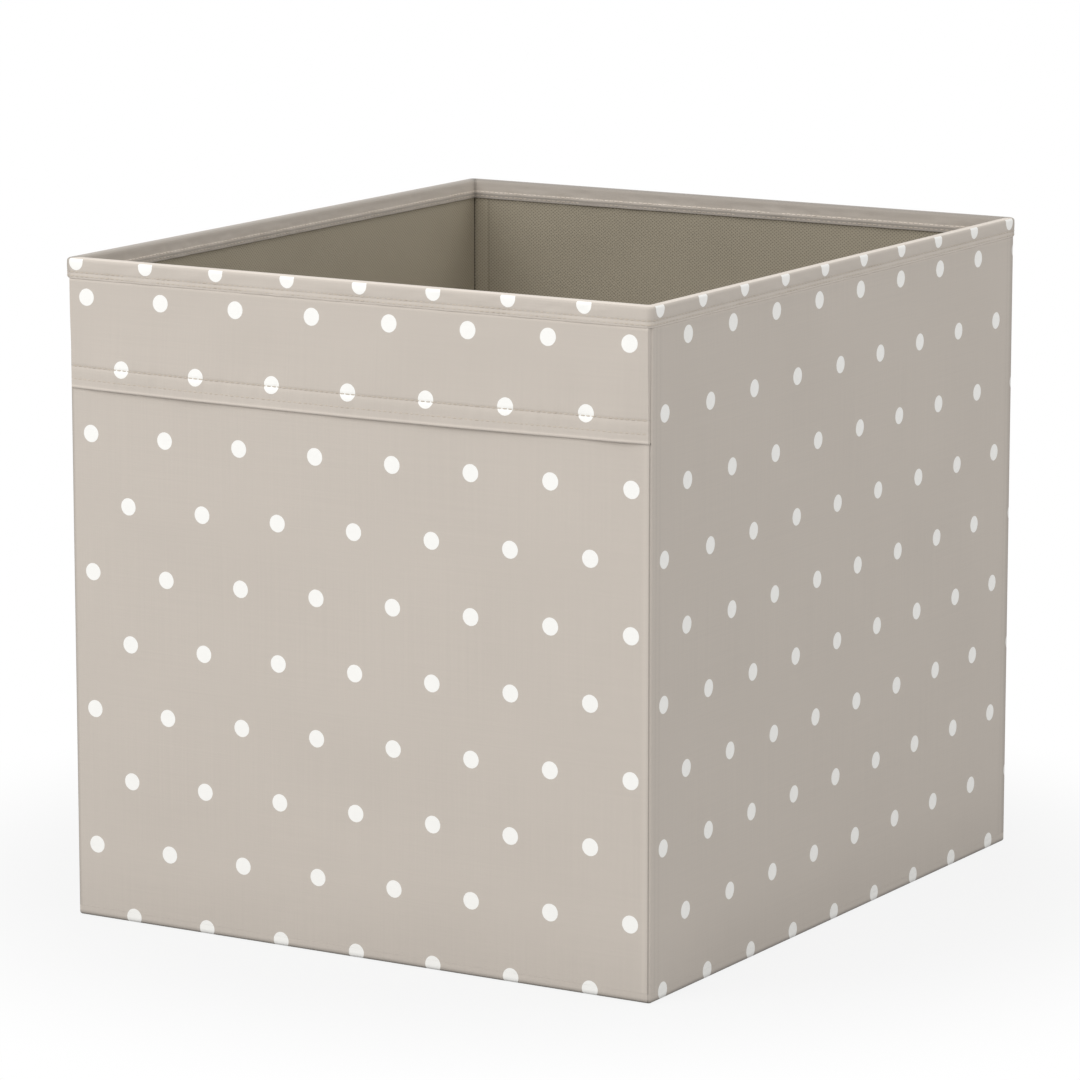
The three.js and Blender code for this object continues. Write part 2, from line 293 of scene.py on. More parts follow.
# A wall maps (along, inset, z) to the box
PLACE = {
    "left": lambda a, i, z: (-SIDE + i, a, z),
    "right": lambda a, i, z: (SIDE - i, a, z),
    "front": lambda a, i, z: (a, -FRONT + i, z),
    "rear": lambda a, i, z: (a, REAR - i, z),
}
REACH = {"left": (-FRONT + EDGE, REAR - EDGE), "right": (-FRONT + EDGE, REAR - EDGE)}
REACH["front"] = REACH["rear"] = (-SIDE + EDGE, SIDE - EDGE)


def wall_span(wall, half=None):
    """From where to where a wall, or its left or right half, runs between corner pieces."""
    low, high = REACH[wall]
    return (0.02 if half == "right" else low), (-0.02 if half == "left" else high)


def wall_steps(wall, half, step=CLOTH_STEP, crease=(), clear=0.0):
    """Stations along a wall. The front has its own ones at the crease."""
    low, high = wall_span(wall, half)
    along = np.linspace(low, high, max(2, int(round((high - low) / step)) + 1))
    if wall == "front" and crease:
        along = np.sort(np.concatenate([along[np.abs(along) > clear], crease]))
    return along


def wall_points(wall, along, profile, push):
    """along: (S,), profile: (N, 2) of inset and z, push: (S, N) outward millimetres."""
    return spread(*PLACE[wall](along[:, None], profile[:, 0] - push, profile[:, 1]))


def wall_name(kind, *where):
    return "_".join([kind, *filter(None, where)])


def proud_of(wall):
    return FRONT_RIM_PROUD if wall == "front" else SIDE_RIM_PROUD


def fade(along, low, high, width=26.0):
    """A column from 0 at a wall's ends to 1."""
    return (smooth((along - low) / width) * smooth((high - along) / width))[:, None]


# ---- The sections of a corner piece: along the side wall, round its arc, along the other ----

SIDE_STEPS = (0, 0.18, 0.34, 0.46, 0.53, 0.60, 0.68, 0.76, 0.82, 0.88, 0.94)
ARC_STEPS = np.linspace(0, 1, 15)
WALL_STEPS = (0.06, 0.12, 0.18, 0.24, 0.34, 0.5, 0.7, 0.78, 0.83, 0.88, 0.93, 1.0)
STEP = np.concatenate([SIDE_STEPS, ARC_STEPS, WALL_STEPS])
FIRST_ARC, LAST_ARC = len(SIDE_STEPS), len(SIDE_STEPS) + len(ARC_STEPS) - 1
ON_SIDE = np.arange(len(STEP)) < FIRST_ARC
ON_WALL = np.arange(len(STEP)) > LAST_ARC
ON_ARC = ~(ON_SIDE | ON_WALL)
SHARE = np.where(ON_ARC, STEP, ON_WALL)  # 0 on the side wall, 1 on the other
TO_ARC = (1 - STEP) * (EDGE - CORNER_ROUND)  # on the side wall, the way still to go
FROM_ARC = STEP * (EDGE - CORNER_ROUND)  # on the other wall, the way gone


def corner_points(sx, sy, side_profile, wall_profile, rounds, groove=0.0, seam_at=0.5):
    """A profile drawn round one upright corner, from the side wall to the front or rear wall.
    The two profiles give each point's inset on either wall, and rounds its radius in plan.
    The seam's groove is that deep at a share of the arc."""
    face = FRONT if sy < 0 else REAR
    ex, ey = SIDE - side_profile[:, 0], face - wall_profile[:, 0]
    step, share = STEP[:, None], SHARE[:, None]
    side, wall, arc = ON_SIDE[:, None], ON_WALL[:, None], ON_ARC[:, None]
    angle = share * math.pi / 2
    radius = rounds - np.where(arc, groove * bump(step, seam_at, 0.09), 0.0)
    x = ex - rounds + radius * np.cos(angle)
    x = x + np.where(wall, (SIDE - EDGE - (ex - rounds)) * step, 0.0)
    y = ey - rounds + radius * np.sin(angle)
    y = y - np.where(side, (ey - rounds - (face - EDGE)) * (1 - step), 0.0)
    return spread(sx * x, sy * y, between(side_profile[:, 1], wall_profile[:, 1], share))


def corner_phase(points, side, other, printed, down_side, down_wall):
    """The print's phases on a corner piece, even along its straight parts and its round."""
    share = SHARE[:, None]
    p0 = printed.across(side, points[FIRST_ARC, :, 1])
    p1 = printed.across(other, points[LAST_ARC, :, 0])
    jump = np.round(p1 - p0)
    across = np.where(ON_ARC[:, None], p0 + (p1 - jump - p0) * share, 0.0)
    across = np.where(ON_SIDE[:, None], printed.across(side, points[..., 1]), across)
    across = np.where(ON_WALL[:, None], printed.across(other, points[..., 0]) - jump, across)
    return spread(across, between(down_side, down_wall, share))


# ---- Materials ----


class Nodes:
    """Short names for building a node tree."""

    def __init__(self, tree):
        self.tree = tree
        tree.nodes.clear()

    def add(self, kind, inputs=(), **settings):
        """A node. Its inputs go by name or number, and take a value or another's output."""
        node = self.tree.nodes.new("ShaderNode" + kind)
        for key, value in settings.items():
            setattr(node, key, value)
        for key, value in dict(inputs).items():
            if isinstance(value, bpy.types.NodeSocket):
                self.tree.links.new(value, node.inputs[key])
            else:
                node.inputs[key].default_value = value
        return node

    def math(self, kind, a, b=0.0, c=0.0, clamp=False):
        return self.add("Math", enumerate((a, b, c)), operation=kind, use_clamp=clamp).outputs[0]

    def times(self, a, b):
        return self.math("MULTIPLY", a, b)

    def scaled(self, value, factor, plus, clamp=False):
        return self.math("MULTIPLY_ADD", value, factor, plus, clamp)

    def varied(self, level, pattern, amount):
        """A level with the ups and downs of a pattern from 0 to 1."""
        return self.scaled(self.math("SUBTRACT", pattern, 0.5), amount, level)

    def attribute(self, name):
        return self.add("Attribute", attribute_type="GEOMETRY", attribute_name=name).outputs

    def object_place(self):
        return self.add("TexCoord").outputs["Object"]

    def split(self, vector):
        return self.add("SeparateXYZ", {0: vector}).outputs

    def join(self, x, y, z=0.0):
        return self.add("CombineXYZ", enumerate((x, y, z))).outputs[0]

    def noise(self, vector, scale, detail, rough):
        inputs = {"Vector": vector, "Scale": scale, "Detail": detail, "Roughness": rough}
        return self.add("TexNoise", inputs).outputs[0]

    def remap(self, value, a, b, c, d, kind="LINEAR"):
        inputs = {"Value": value, "From Min": a, "From Max": b, "To Min": c, "To Max": d}
        return self.add("MapRange", inputs, interpolation_type=kind).outputs[0]

    def mix(self, share, a, b, kind="MIX"):
        inputs = {0: share, 6: a, 7: b}
        return self.add("Mix", inputs, data_type="RGBA", blend_type=kind).outputs[2]

    def tinted(self, tone, level):
        """A tone made darker or lighter by a level."""
        grey = self.add("CombineColor", enumerate((level, level, level)))
        return self.mix(1.0, tone, grey.outputs[0], "MULTIPLY")

    def show_to(self, share, lit, seen, kind):
        """The output: what lights the scene, and what the rays of the share see instead."""
        mix = self.add("MixShader", {0: share, 1: lit.outputs[0], 2: seen.outputs[0]})
        self.add(kind, {0: mix.outputs[0]})


class Surface(Nodes):
    """A material with one shader."""

    def __init__(self, name):
        self.material = bpy.data.materials.new(name)
        self.material.use_nodes = True
        super().__init__(self.material.node_tree)

    def finish(self, colour, rough, height, relief, strength, specular=0.5, sheen=0.0):
        """relief is the height's reach in metres."""
        bumped = self.add("Bump", {"Height": height, "Distance": relief, "Strength": strength})
        shader = self.add("BsdfPrincipled", {
            "Base Color": colour, "Roughness": rough, "Normal": bumped.outputs[0],
            "Specular IOR Level": specular, "Sheen Weight": sheen,
        })
        self.add("OutputMaterial", {0: shader.outputs[0]})
        return self.material


def linear(r, g, b):
    """From 0-255 screen values, none nearly black, to the linear colour that a shader takes."""
    return (*(((c / 255 + 0.055) / 1.055) ** 2.4 for c in (r, g, b)), 1.0)


def cloth_coordinates(m):
    """(phase across, phase down, mm across, mm down, a vector in mm)"""
    x, y, _ = m.split(m.attribute("print")["Vector"])
    u, v = m.times(x, DOT_ACROSS), m.times(y, DOT_DOWN)
    return x, y, u, v, m.join(u, v)


def to_lattice(m, x, y, wide=1.0, high=1.0):
    """The distance to a staggered lattice's nearest point, with cells of 1 by 1 in x and y."""
    away = []
    for shift in (0.0, 0.5):
        a = m.times(m.math("WRAP", m.math("ADD", x, shift), 0.5, -0.5), wide)
        b = m.times(m.math("WRAP", m.math("ADD", y, shift), 0.5, -0.5), high)
        away.append(m.math("SQRT", m.math("ADD", m.times(a, a), m.times(b, b))))
    return m.math("MINIMUM", *away)


def weave_height(m, u, v, pitch):
    """Over and under of a plain weave, from 0 to 1."""
    a = m.math("SINE", m.times(u, 2 * math.pi / pitch))
    b = m.math("SINE", m.times(v, 2 * math.pi / pitch))
    return m.scaled(m.times(a, b), 0.5, 0.5)


def threads_tone(m, u, v, seed):
    """Slightly lighter and darker single threads, both ways."""
    warp = m.noise(m.join(m.times(u, 1.6), m.times(v, 0.012), seed), 1.0, 3.0, 0.6)
    weft = m.noise(m.join(m.times(u, 0.012), m.times(v, 1.6), seed + 7.0), 1.0, 3.0, 0.6)
    return m.math("SUBTRACT", m.math("ADD", warp, weft), 1.0)


def printed_cloth(name, tone, ink_tone):
    """Woven cloth with printed dots. Its wear is a painted highlight, 0 to 1 along lit
    edges and up to 2 on a crest without dots, and -1 where the cloth is plain."""
    m = Surface(name)
    x, y, u, v, uv = cloth_coordinates(m)
    shade = m.attribute("shade")["Fac"]
    wear = m.attribute("wear")["Fac"]
    streaks = threads_tone(m, u, v, 3.0)
    weave = weave_height(m, u, v, 0.9)
    level = m.varied(1.0, m.noise(uv, 0.012, 2.0, 0.5), 0.05)
    level = m.varied(m.scaled(streaks, 0.10, level), weave, 0.05)
    # painted shade from shade, and a painted highlight from wear, stronger on the crest
    level = m.scaled(shade, -0.42, level)
    crest = m.math("SUBTRACT", wear, 1.0, clamp=True)
    level = m.scaled(crest, 0.20, m.scaled(wear, 0.06, level))
    height = m.scaled(m.noise(uv, 0.9, 3.0, 0.6), 0.5, m.times(weave, 0.6))
    rough = m.scaled(streaks, 0.25, 0.86, clamp=True)

    distance = to_lattice(m, x, y, DOT_ACROSS, DOT_DOWN)
    ragged = m.times(m.math("SUBTRACT", m.noise(uv, 1.3, 3.0, 0.6), 0.5), 0.34)
    distance = m.math("ADD", distance, ragged)
    ink = m.remap(distance, DOT_RADIUS + 0.1, DOT_RADIUS - 0.12, 0.0, 1.0, "SMOOTHSTEP")
    plain = m.math("MAXIMUM", crest, m.times(wear, -1.0))
    ink = m.times(ink, m.math("SUBTRACT", 1.0, plain, clamp=True))
    ink_level = m.scaled(shade, -0.25, m.scaled(streaks, 0.03, 1.0))
    colour = m.mix(ink, m.tinted(tone, level), m.tinted(ink_tone, ink_level))
    height, rough = m.scaled(ink, 0.35, height), m.scaled(ink, -0.3, rough)
    return m.finish(colour, rough, height, 0.00006, 0.55, sheen=0.12)


def dimpled_cloth(name, tone, dimple=1.8, depth=0.36):
    """Spun cloth with a fine staggered pattern of pressed dimples."""
    m = Surface(name)
    _, _, u, v, uv = cloth_coordinates(m)
    nearest = to_lattice(m, m.math("DIVIDE", u, dimple * 1.25), m.math("DIVIDE", v, dimple))
    pressed = m.remap(nearest, 0.27, 0.12, 0.0, 1.0, "SMOOTHSTEP")
    fibres = m.noise(uv, 1.1, 4.0, 0.7)
    level = m.varied(m.scaled(pressed, -depth, 1.05), fibres, 0.34)
    level = m.varied(level, m.noise(uv, 0.014, 3.0, 0.5), 0.16)
    level = m.scaled(m.attribute("shade")["Fac"], -0.55, level)
    height = m.scaled(pressed, -1.0, m.times(fibres, 0.6))
    rough = m.remap(pressed, 0.0, 1.0, 0.9, 0.62)
    return m.finish(m.tinted(tone, level), rough, height, 0.00010, 0.7, specular=0.3, sheen=0.06)


def thread_material(name, tone):
    m = Surface(name)
    place = m.object_place()
    twist = m.add("TexWave", {"Vector": place, "Scale": 900.0, "Distortion": 1.5})
    height = twist.outputs["Fac"]
    level = m.scaled(height, 0.12, m.scaled(m.noise(place, 160.0, 2.0, 0.5), 0.30, 0.84))
    rough = m.remap(height, 0.0, 1.0, 0.72, 0.5)
    return m.finish(m.tinted(tone, level), rough, height, 0.00004, 0.6, sheen=0.1)


def board_material(name, tone, speck_tone):
    """Grey-brown pressed board with long fibres and dark specks."""
    m = Surface(name)
    place = m.object_place()
    x, y, z = m.split(place)
    stretched = m.join(m.times(x, 240.0), m.times(y, 240.0), m.times(z, 900.0))
    fibres = m.noise(stretched, 1.0, 5.0, 0.7)
    specks = m.remap(m.noise(place, 900.0, 2.0, 0.5), 0.66, 0.74, 0.0, 0.45)
    colour = m.mix(specks, m.tinted(tone, m.varied(1.0, fibres, 0.35)), speck_tone)
    return m.finish(colour, m.remap(fibres, 0.2, 0.8, 0.78, 0.96), fibres, 0.00015, 0.7)


print_cloth = printed_cloth("printed_cloth", linear(201.5, 192.5, 182.5), linear(253, 252, 248))
lining_cloth = dimpled_cloth("lining_cloth", linear(166, 157, 139))
base_cloth = dimpled_cloth("base_cloth", linear(167, 158, 140))
thread = thread_material("thread", linear(196, 185, 170))
light_thread = thread_material("light_thread", linear(234, 224, 212))
dark_thread = thread_material("lining_thread", linear(120, 108, 92))
board = board_material("board", linear(172, 150, 118), linear(96, 80, 60))

for node_name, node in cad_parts.items():
    if node_name.endswith("_board"):
        node.data.materials.clear()
        node.data.materials.append(board)


# ---- Wall cloth: cover and lining ----


def rows_between(low, fine):
    """Heights in even steps, with the finer ones under the binding."""
    count = int(round((LAYER_TOP - low) / CLOTH_STEP)) + 1
    return np.array(sorted({*np.round(np.linspace(low, LAYER_TOP, count), 4), *fine}))


COVER_ROWS = rows_between(COVER_BOTTOM, (317.4, 318.6, 319.2, 319.6, 320.0, 320.6))
LINING_ROWS = rows_between(
    COVER_BOTTOM + 0.4, (316.6, 317.6, 318.4, 319.0, 319.4, 319.8, 320.4))
LIP_TOP = COVER_BOTTOM + CLOTH + 0.1
LIP_END = 3.2


def cover_profile():
    """Outer face upward, inner face downward, then the lip under the board. With it, which
    points are on the seen face."""
    outer = [(0.0, z) for z in COVER_ROWS]
    inner = [(CLOTH, z) for z in COVER_ROWS[::-1][:-1] if z > LIP_TOP + 1.0]
    lip = [(CLOTH, LIP_TOP), (LIP_END, LIP_TOP), (LIP_END, COVER_BOTTOM)]
    profile = np.array(outer + inner + lip)
    return profile, np.arange(len(profile)) < len(outer)


def lining_profile():
    """Inner face (towards the room) upward, then the hidden face downward."""
    seen = [(WALL, z) for z in LINING_ROWS]
    hidden = [(LINING_START, z) for z in LINING_ROWS[::-1]]
    profile = np.array(seen + hidden)
    return profile, np.arange(len(profile)) < len(seen)


def cover_shade(z):
    """Painted shade, darker towards the floor, and painted light under the rim, against the shadow
    of the binding's edge.
    """
    return 0.12 * smooth((40 - z) / 36) - 0.25 * bump(z, UNDER_RIM, 0.6)


def cover(wall, half=None):
    profile, seen = cover_profile()
    along = wall_steps(wall, half, crease=(-3.0, -1.5, 0.0, 1.5, 3.0), clear=4.2)
    a, z = along[:, None], profile[:, 1]
    free = fade(along, *REACH[wall]) * smooth((z - 6) / 60) * smooth((322 - z) / 24)
    push = (0.12 + 0.16 * wall_waves[wall](a, z)) * free * seen
    return cloth_piece(
        wall_name("cover", wall, half), "print", wall_points(wall, along, profile, push),
        print_cloth, spread(cover_print.across(wall, a), cover_print.down(wall, z)),
        shade=cover_shade(z), wear=0.0)


def lining(wall, half=None):
    profile, seen = lining_profile()
    along = wall_steps(wall, half, crease=(-6.0, -3.0, 0.0, 3.0, 6.0), clear=8.0)
    a, z = along[:, None], profile[:, 1]
    free = fade(along, *REACH[wall]) * smooth((z - 8) / 18) * smooth((318 - z) / 18)
    push = np.minimum((-0.18 + 0.22 * lining_waves[wall](a, z)) * free, 0.08) * seen
    # shade: a painted shadow under the binding's edge, and the wall's painted shade
    return cloth_piece(
        wall_name("lining", wall, half), "lining", wall_points(wall, along, profile, push),
        lining_cloth, spread(a / DOT_ACROSS, z / DOT_DOWN),
        shade=0.3 * bump(z, UNDER_RIM, 1.2) + LINING_PAINTED_SHADE[wall])


# ---- Rim binding ----

# Heights over the binding's lower edge at which its outer and its inner leg have points
OUTER_LEG = (0.45, 0.9, 1.3, 1.7, 2.1, 2.5, 2.9, 3.3, 3.7, 4.1, 4.7, 5.4, 6.2, 7.0, 7.8)
INNER_LEG = (
    7.8, 7.0, 6.2, 5.4, 4.7, 4.3, 4.0, 3.7, 3.4, 3.1, 2.8, 2.5, 2.2, 1.8, 1.4, 1.0, 0.6, 0.3)


def rim_profile(proud):
    """The closed outline of the folded tape, from the outer leg's lower edge over the fold.
    Gives points of (inset, z), their phase down the tape from the dots' row, and which points
    are on the seen face."""
    outer, inner, low = -proud, WALL + SIDE_RIM_PROUD, RIM_BOTTOM
    left, right, small = outer + RIM_ROUND, inner - RIM_ROUND, RIM_ROUND - TAPE

    def rounded(centre, radius, start, end, steps):
        """Points round the fold, with angles given in quarter turns."""
        angles = np.linspace(start, end, steps + 1) * math.pi / 2
        top = HEIGHT - RIM_ROUND
        return [(centre + radius * math.cos(a), top + radius * math.sin(a)) for a in angles]

    seen = [(outer + 0.14, low + 0.03)] + [(outer, low + z) for z in OUTER_LEG]
    seen += rounded(left, RIM_ROUND, 2, 1, 6)
    seen += [(left + (right - left) * i / 4, HEIGHT) for i in (1, 2, 3)]
    seen += rounded(right, RIM_ROUND, 1, 0, 6)
    seen += [(inner, low + z) for z in INNER_LEG] + [(inner - 0.12, low + 0.02)]
    hidden = [(inner - TAPE + 0.1, low), (inner - TAPE, low + 0.3), (inner - TAPE, low + 3.0)]
    hidden += rounded(right, small, 0, 1, 3) + rounded(left, small, 1, 2, 3)
    hidden += [(outer + TAPE, low + 4.0), (outer + TAPE, low + 0.3), (outer + TAPE - 0.1, low)]
    profile = np.array(seen + hidden)
    down = (travelled(profile) - (HEIGHT - 1.5 - low)) / DOT_DOWN
    return profile, down, np.arange(len(profile)) < len(seen)


def rim_legs(profile, seen):
    """Which points are on the seen face's outside and inside."""
    return seen & (profile[:, 0] < 1.5), seen & (profile[:, 0] > 3.0)


def rim_push(profile, seen, out_more=0.0, in_more=0.0):
    """The tape stands out a little between its stitch lines and is drawn in along them."""
    z = profile[:, 1]
    outside, inside = rim_legs(profile, seen)
    out = bumps(z, (0.07, 326.4, 1.9), (-0.09, 323.3, 0.5), (-0.04, 321.3, 0.45))
    out = out - 0.30 * smooth(321.0 - z) + out_more
    into = bumps(z, (0.07, 326.2, 1.9), (-0.10, 323.6, 0.5), (-0.08, 321.3, 0.45))
    return np.where(outside, out, 0.0) - np.where(inside, into + in_more, 0.0)


def rim_shade(profile, seen, wall):
    z = profile[:, 1]
    outside, _ = rim_legs(profile, seen)
    # outside: a painted dark line at the upper stitches, a painted light line below it, and the
    # lower edge painted lighter against its own shadow
    out = bumps(z, (0.30, 323.3, 0.42), (-0.20, 322.2, 0.55)) - 0.8 * smooth((321.0 - z) / 0.8)
    # inside: a painted light line at the stitches, painted shade above them, below them and at the
    # lower edge, and the wall's painted shade
    into = bumps(z, (-0.7, 323.75, 0.5), (0.3, 322.3, 0.35), (0.4, 320.05, 0.25))
    into = into + 0.18 * smooth((z - 325.6) / 1.6) + 0.5 * smooth((322.9 - z) / 0.5)
    into = into + BAND_PAINTED_SHADE[wall]
    # painted shade on the crest of the walls without the painted highlight
    crest = smooth(z - LAYER_TOP) * (0.0 if wall in CREST_HIGHLIGHT_WALLS else 0.4)
    return np.where(outside, out, into) * seen + crest


def rim_wear(profile, wall):
    """The fold's crest gets a painted highlight at the front and the right, and has no dots
    anywhere.
    """
    return smooth((profile[:, 1] - 329.5) / 0.4) * (2.0 if wall in CREST_HIGHLIGHT_WALLS else -1.0)


def rim(wall, half=None):
    profile, down, seen = rim_profile(proud_of(wall))
    along = wall_steps(wall, half, RIM_STEP)
    a, z = along[:, None], profile[:, 1]
    free = fade(along, *REACH[wall], width=5.0) * smooth((LAYER_TOP - z) / 2.5)
    wave, ripple = rim_waves[wall](a, z * 2.0), rim_ripples[wall](a, z)
    push = rim_push(
        profile, seen, (0.07 * wave + 0.035 * ripple) * free, (0.08 * wave + 0.05 * ripple) * free)
    return cloth_piece(
        wall_name("rim", wall, half), "binding", wall_points(wall, along, profile, push),
        print_cloth, spread(rim_print.across(wall, a), down),
        shade=rim_shade(profile, seen, wall), wear=rim_wear(profile, wall))


# ---- Pull flap ----

FLAP_ROWS = np.array([
    328.0, 322, 320.4, 319.9, 319.5, 319.0, 318.4, 317.4, 313, 308, 303, 298, 293, 288, 284,
    280.5, 278.4, 277.4, 276.8, 276.4, 276.0, 275.6, 275.2, 274.6, 273.6, 272.4, 271.2, 270.4,
    269.9, 269.5, 269.1, 268.4, 267.6, 266.9, 266.4, 266.0, 265.6, 265.3,
])
FLAP_BACK = 0.2  # its back hangs this far in front of the cover


def flap_hang(a, z):
    """How far the flap bows out at a place, and how far it hangs down."""
    middle = np.sin(np.clip(1 - np.abs(a) / FLAP_END, 0, 1) * math.pi / 2)
    drop = np.clip((RIM_BOTTOM - z) / FLAP_HANG, 0, 1)
    return FLAP_BOW * middle * drop ** 1.5, (FLAP_SAG * middle - FLAP_RISE) * drop


def flap_wave(a, z):
    """How far its face stands out: waves, small ones along the hem, and a lean inward."""
    free = smooth((FLAP_END - np.abs(a)) / 16)
    wave = 0.22 * flap_waves(a, z) * smooth((RIM_BOTTOM - z) / 20)
    wave = wave + 0.10 * hem_waves(a, z * 0.25) * bump(z, 272.4, 6.5)
    return free * wave - (0.9 - 0.6 * free) * smooth((310 - z) / 40)


def flap_piece(name, along):
    """Its face, the folded lower edge and its back."""
    a, rows = along[:, None], FLAP_ROWS
    past = smooth((np.abs(a) - FLAP_END) / 0.8)
    bow, sag = flap_hang(a, rows)
    out = 1.4 + 0.25 * smooth((276.2 - rows) / 2.2) + 0.08 * smooth((266.4 - rows) / 0.9)
    out = out + bumps(
        rows, (0.06, 279.6, 2.0), (-0.16, 276.0, 0.55), (0.08, 272.6, 1.8), (-0.05, 269.5, 0.5))
    out = out + flap_wave(a, rows) - 2.2 * past
    face = spread(a, -FRONT - out - bow, rows - sag)

    # the folded lower edge, from the face's last row to the back
    turn = np.pi * np.arange(1, 6) / 6
    _, y, z = face[:, -1:].transpose(2, 0, 1)
    bow, _ = flap_hang(a, RIM_BOTTOM - FLAP_HANG)
    depth = -FRONT - FLAP_BACK - bow - y
    fold = spread(a, y + depth * (1 - np.cos(turn)) / 2, z - 0.62 * np.sin(turn))

    back_rows = FLAP_ROWS[::-1][2::3]
    bow, sag = flap_hang(a, back_rows)
    back = spread(a, -FRONT - FLAP_BACK - bow + 2.6 * past, back_rows - sag)

    cloth_z = np.concatenate([FLAP_ROWS, np.linspace(265.0, 263.5, len(turn)), back_rows])
    down = cloth_z - FLAP_PRINT_TOP
    across = a + 152.5 - 1.6 * down / 34.7
    phase = spread(across / FLAP_PITCH[0], (down - 0.003 * a) / FLAP_PITCH[1])
    # painted shade on the upper stitch line, painted light under the rim and on the fold's
    # underside against their shadow, and a painted highlight along the hem's lower edge
    shade = bumps(cloth_z, (0.30, 276.0, 0.45), (-0.45, UNDER_RIM, 0.6))
    shade = shade - 0.10 * smooth((265.1 - cloth_z) / 0.8)
    hidden = np.arange(len(cloth_z)) >= len(FLAP_ROWS) + len(turn)
    return cloth_piece(
        name, "print", np.concatenate([face, fold, back], 1), print_cloth, phase,
        shade=np.where(hidden, 0.2, shade),
        wear=np.where(hidden, 0.0, 1.5 * bump(cloth_z, 265.9, 0.5)))


# ---- Stitches ----


def stitch_mesh(name, lines, material, thick=0.21):
    """One mesh of short, slightly arched stitches. Each line is three (K, 3) arrays: the
    stitches' centres in millimetres, their directions and their normals."""
    sides, parts = 6, 6
    points, faces = [], []
    for c, d, n in (stitch for line in lines for stitch in zip(*line)):
        d = d / np.linalg.norm(d)
        n = n / np.linalg.norm(n)
        w = np.cross(d, n)
        size = STITCH_LENGTH * (1 + rng.uniform(-0.06, 0.06))
        tilt = rng.uniform(-0.04, 0.04)
        base = len(points)
        for p in range(parts + 1):
            t = p / parts * 2 - 1
            middle = c + d * (t * size / 2) + w * (t * size / 2 * tilt)
            middle = middle + n * (0.12 - 0.30 * abs(t) ** 3)
            radius = thick * math.sqrt(max(0.0, 1 - (abs(t) * 0.93) ** 4)) + 0.02
            for s in range(sides):
                angle = 2 * math.pi * s / sides
                points.append(middle + (w * math.cos(angle) + n * math.sin(angle) * 0.8) * radius)
        faces += [tuple(base + i for i in face) for face in tube_faces(parts + 1, sides)]
    obj = make_object(name, points, faces, material, smooth_below=80)
    return obj


def stitch_places(low, high, at_least=1):
    count = max(at_least, int(round((high - low) / STITCH)))
    return low + (np.arange(count) + 0.5) * (high - low) / count


def straight_line(centres, direction, normal):
    return centres, np.tile(direction, (len(centres), 1)), np.tile(normal, (len(centres), 1))


def rim_line(wall, low, high, z, outside, deep):
    inset = deep - proud_of(wall) if outside else WALL + SIDE_RIM_PROUD - deep
    centres = np.array([PLACE[wall](a, inset, z) for a in stitch_places(low, high)])
    origin = np.array(PLACE[wall](0.0, 0.0, 0.0))
    normal = np.array(PLACE[wall](0.0, -1.0 if outside else 1.0, 0.0)) - origin
    return straight_line(centres, np.array(PLACE[wall](1.0, 0.0, 0.0)) - origin, normal)


def rim_seams(name, lines):
    """Two meshes of stitches: the last line is sewn with the light thread."""
    return [
        stitch_mesh(name, lines[:-1], thread),
        stitch_mesh(f"{name}_light", lines[-1:], light_thread),
    ]


def hem_seam(end, low, high):
    """The stitch rows of the flap's hem, between two places along the front."""
    lines = []
    for z, out in HEM_ROWS:
        a = stitch_places(low, high)
        bow, sag = flap_hang(a, z)
        centres = spread(a, -FRONT - out - bow - flap_wave(a, z), z - sag)
        normals = np.tile([0.0, -1.0, 0.0], (len(a), 1))
        lines.append((centres, np.gradient(centres, axis=0), normals))
    return stitch_mesh("stitches_hem" + end, lines, thread)


# ---- Building the four walls ----

FLAP_STEPS = np.sort(np.concatenate([
    np.linspace(-SIDE + EDGE, -3.0, 74), np.linspace(3.0, SIDE - EDGE, 74), [-1.5, 0.0, 1.5],
]))
WALLS = (  # wall, half, its bodies, the start of its nodes' names, and its sheets' width in metres
    ("left", None, ["left_wall"], ["left"], 0.347),
    ("right", None, ["right_wall"], ["right"], 0.347),
    ("rear", "left", ["rear_left_half"], ["rear_left"], 0.150),
    ("rear", "right", ["rear_right_half"], ["rear_right"], 0.150),
    ("front", None, ["front_left_half", "front_right_half"], ["front_left", "front_right"], 0.3004),
)

for wall, half, bodies, starts, width in WALLS:
    made = [maker(wall, half) for maker in (cover, lining, rim)]
    for piece, node in zip(made, ("cover", "lining", "rim_binding")):
        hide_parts(*(f"{start}_{node}" for start in starts))
    if wall == "front":
        flap = flap_piece("pull_flap", FLAP_STEPS)
        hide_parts("pull_flap_left", "pull_flap_right")
    low, high = wall_span(wall, half)
    lines = [rim_line(wall, low, high, *row) for row in RIM_ROWS]
    seams = rim_seams(wall_name("stitches", wall, half), lines)
    declare(made[0])
    declare(made[1])
    declare(made[2])
    made += seams
    if wall == "front":
        hem = hem_seam("", low, high)
        declare(flap)
        for piece in made + [flap, hem]:
            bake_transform(piece)
    else:
        for piece in made:
            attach(piece, *bodies)


# ---- The four upright corners ----


def corner_line(points, profile, seen, sx, sy, height, outside):
    """Stitches round a corner, along the tape's row of points that is nearest in height."""
    legs = rim_legs(profile, seen)
    leg = np.flatnonzero(legs[0] if outside else legs[1])
    path = points[:, leg[np.argmin(np.abs(profile[leg, 1] - height))]].copy()
    path[:, 2] = height
    gone = travelled(path)
    at = stitch_places(0, gone[-1], at_least=3)

    def on_path(way):
        return spread(*(np.interp(way, gone, path[:, k]) for k in range(3)))

    direction = on_path(np.minimum(at + 0.6, gone[-1])) - on_path(np.maximum(at - 0.6, 0))
    normal = spread(direction[:, 1], -direction[:, 0], 0.0)
    outward = (normal * np.array([sx, sy, 0.0])).sum(1) > 0
    return on_path(at), direction, normal * np.where(outward == outside, 1.0, -1.0)[:, None]


def rounds_of(profile, concave):
    """Each point's radius in plan at an upright corner: round outside, soft inside."""
    inset = profile[:, 0]
    outer = np.maximum(CORNER_ROUND - inset, 0.35)
    return np.where(inset < 1.7, outer, np.maximum(concave + (WALL - inset), 0.35))


